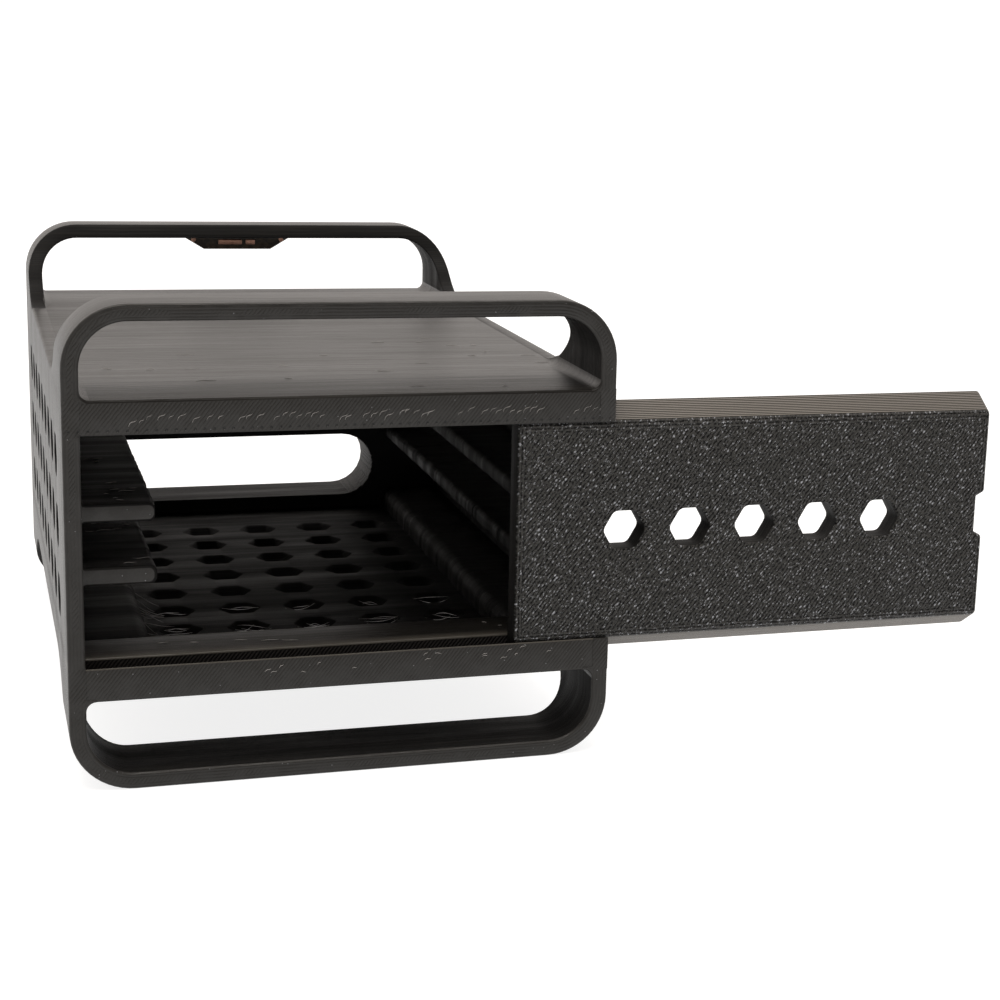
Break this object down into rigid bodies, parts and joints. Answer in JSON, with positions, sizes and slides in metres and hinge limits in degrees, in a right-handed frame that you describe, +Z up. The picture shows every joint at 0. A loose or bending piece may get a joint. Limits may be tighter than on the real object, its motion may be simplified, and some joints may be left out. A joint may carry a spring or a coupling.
{
  "type": "small computer holder",
  "caption": "Printed sleeve case for a small computer board: looped handles and feet, side ledges, honeycomb vents, rear windows and a dovetailed door that slides out sideways.",
  "frame": {"origin": "centre of the flat base of the front foot, on the plane the case stands on", "axes": "+X to the right, the way the door slides open; +Y from the front opening to the rear wall; +Z up"},
  "size_m": [0.1347, 0.114, 0.0662],
  "materials": {
    "case_plastic": "satin black filament with fine layer lines",
    "door_plastic": "black filament, speckled front face pressed on a textured print bed",
    "copper_inlay": "dull copper"
  },
  "bodies": {
    "case": {"front_handle": "case_plastic", "rear_handle": "case_plastic", "front_foot": "case_plastic", "rear_foot": "case_plastic", "lower_lip": "case_plastic", "upper_lip": "case_plastic", "lower_sill": "case_plastic", "upper_sill": "case_plastic", "left_wall": "case_plastic", "right_wall": "case_plastic", "floor_plate": "case_plastic", "top_plate": "case_plastic", "rear_wall": "case_plastic", "left_lower_step": "case_plastic", "right_lower_step": "case_plastic", "left_upper_step": "case_plastic", "right_upper_step": "case_plastic", "left_lower_ledge": "case_plastic", "right_lower_ledge": "case_plastic", "left_upper_ledge": "case_plastic", "right_upper_ledge": "case_plastic", "handle_tab": "case_plastic", "long_strip": "copper_inlay", "short_strip": "copper_inlay", "left_pin": "copper_inlay", "right_pin": "copper_inlay"},
    "door": {"sliding_door": "door_plastic"}
  },
  "joints": [
    {"name": "door_slide", "type": "slide", "parent": "case", "child": "door", "axis": [1, 0, 0], "range_m": [-0.059, 0.01]}
  ]
}
